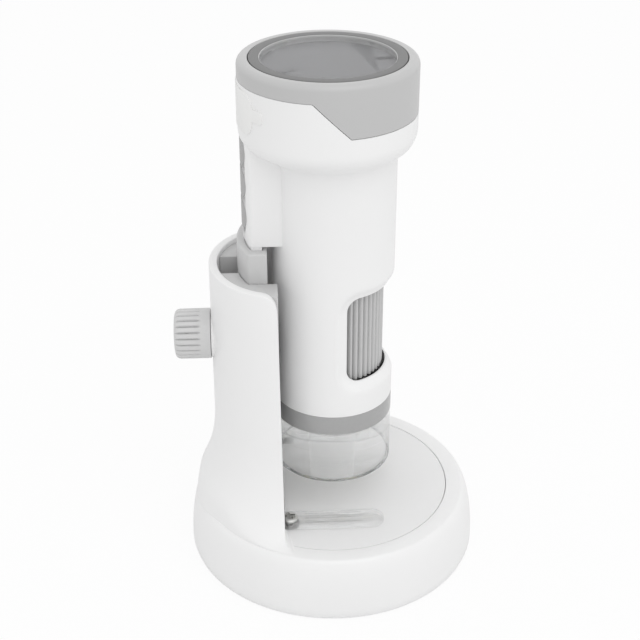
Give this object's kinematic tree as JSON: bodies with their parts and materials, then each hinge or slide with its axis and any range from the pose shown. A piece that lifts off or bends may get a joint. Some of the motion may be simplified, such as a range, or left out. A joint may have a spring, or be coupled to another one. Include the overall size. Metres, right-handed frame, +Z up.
{
  "type": "handheld digital microscope with stand",
  "caption": "Handheld digital microscope with a round display, focus wheel and clear light hood, in a rack-and-pinion stand with a round stage and two clips",
  "frame": {"origin": "on the optical axis, at the underside of the base's pad", "axes": "+Z up along the optical axis, +X towards the focus wheel's window, -X towards the column and the knob"},
  "size_m": [0.113, 0.11, 0.1946],
  "materials": {
    "white_plastic": "fine satin texture",
    "pale_grey_plastic": "satin",
    "grey_plastic": "satin",
    "dark_plastic": "satin",
    "black_plastic": "matt",
    "window_glass": "polished",
    "lens_glass": "polished",
    "display": "glossy",
    "clear_plastic": "polished, clear",
    "steel": "turned",
    "brass": "cut teeth",
    "board": "solder mask",
    "cell_wrap": "foil pouch",
    "lamp": "clear dome",
    "pad_rubber": "matt",
    "soft_white_rubber": "matt",
    "soft_grey_rubber": "matt"
  },
  "bodies": {
    "stand": {"stand_shell": "white_plastic", "stage_plate": "white_plastic", "bottom_cover": "pale_grey_plastic", "non_slip_pad": "pad_rubber", "base_screws": "steel", "clip_screws": "steel", "guide_block": "pale_grey_plastic", "guide_screws": "steel", "knob_bush": "brass"},
    "knob_set": {"knob": "pale_grey_plastic", "knob_shaft": "steel", "pinion": "brass"},
    "clip_near": {"stage_clip_near": "clear_plastic"},
    "clip_far": {"stage_clip_far": "clear_plastic"},
    "carriage": {"carriage": "grey_plastic"},
    "scope": {"barrel_shell": "white_plastic", "spine_cover": "white_plastic", "head_ring": "grey_plastic", "bezel_ring": "dark_plastic", "display_window": "window_glass", "lcd_panel": "display", "main_board": "board", "board_screws": "steel", "usb_socket": "steel", "card_socket": "steel", "button_board": "board", "button_switches": "black_plastic", "battery": "cell_wrap", "chassis": "black_plastic", "sensor_board": "board", "band_ring": "dark_plastic", "led_board": "board", "led_lamps": "lamp", "clear_hood": "clear_plastic"},
    "focus_wheel": {"focus_ring": "grey_plastic"},
    "lens": {"lens_cell": "black_plastic", "objective_lens": "lens_glass"},
    "button_top": {"button_top": "soft_grey_rubber"},
    "button_middle": {"button_middle": "soft_grey_rubber"},
    "button_bottom": {"button_bottom": "soft_grey_rubber"},
    "port_flap": {"port_cover": "soft_white_rubber"}
  },
  "joints": [
    {"name": "carriage_slide", "type": "slide", "parent": "stand", "child": "carriage", "axis": [0, 0, 1], "range_m": [-0.011, 0.012]},
    {"name": "knob_turn", "type": "hinge", "parent": "stand", "child": "knob_set", "pos_m": [-0.0446, 0, 0.0908], "axis": [1, 0, 0], "range_deg": [-140.1, 152.8]},
    {"name": "clip_near_swivel", "type": "hinge", "parent": "stand", "child": "clip_near", "pos_m": [-0.0175, -0.028, 0.0243], "axis": [0, 0, 1], "range_deg": [-10, 35]},
    {"name": "clip_far_swivel", "type": "hinge", "parent": "stand", "child": "clip_far", "pos_m": [-0.0175, 0.028, 0.0243], "axis": [0, 0, 1], "range_deg": [-35, 10]},
    {"name": "scope_lift", "type": "slide", "parent": "carriage", "child": "scope", "axis": [0, 0, 1], "range_m": [0, 0.02]},
    {"name": "focus_turn", "type": "hinge", "parent": "scope", "child": "focus_wheel", "pos_m": [0, 0, 0.09835], "axis": [0, 0, 1], "range_deg": [-120.1, 120.1]},
    {"name": "lens_travel", "type": "slide", "parent": "scope", "child": "lens", "axis": [0, 0, 1], "range_m": [-0.003, 0.003]},
    {"name": "port_flap_hinge", "type": "hinge", "parent": "scope", "child": "port_flap", "pos_m": [-0.02716, 0.01634, 0.1798], "axis": [0, 0, -1], "range_deg": [0, 95]},
    {"name": "button_top_press", "type": "slide", "parent": "scope", "child": "button_top", "axis": [1, 0, 0], "range_m": [0, 0.0006], "stiffness_N_per_m": 1500, "springref_m": -0.0004},
    {"name": "button_middle_press", "type": "slide", "parent": "scope", "child": "button_middle", "axis": [1, 0, 0], "range_m": [0, 0.0006], "stiffness_N_per_m": 1500, "springref_m": -0.0004},
    {"name": "button_bottom_press", "type": "slide", "parent": "scope", "child": "button_bottom", "axis": [1, 0, 0], "range_m": [0, 0.0006], "stiffness_N_per_m": 1500, "springref_m": -0.0004}
  ],
  "couplings": [
    {"joint": "knob_turn", "follows": "carriage_slide", "rad_per_m": 222.22},
    {"joint": "focus_turn", "follows": "lens_travel", "rad_per_m": 698.13}
  ]
}
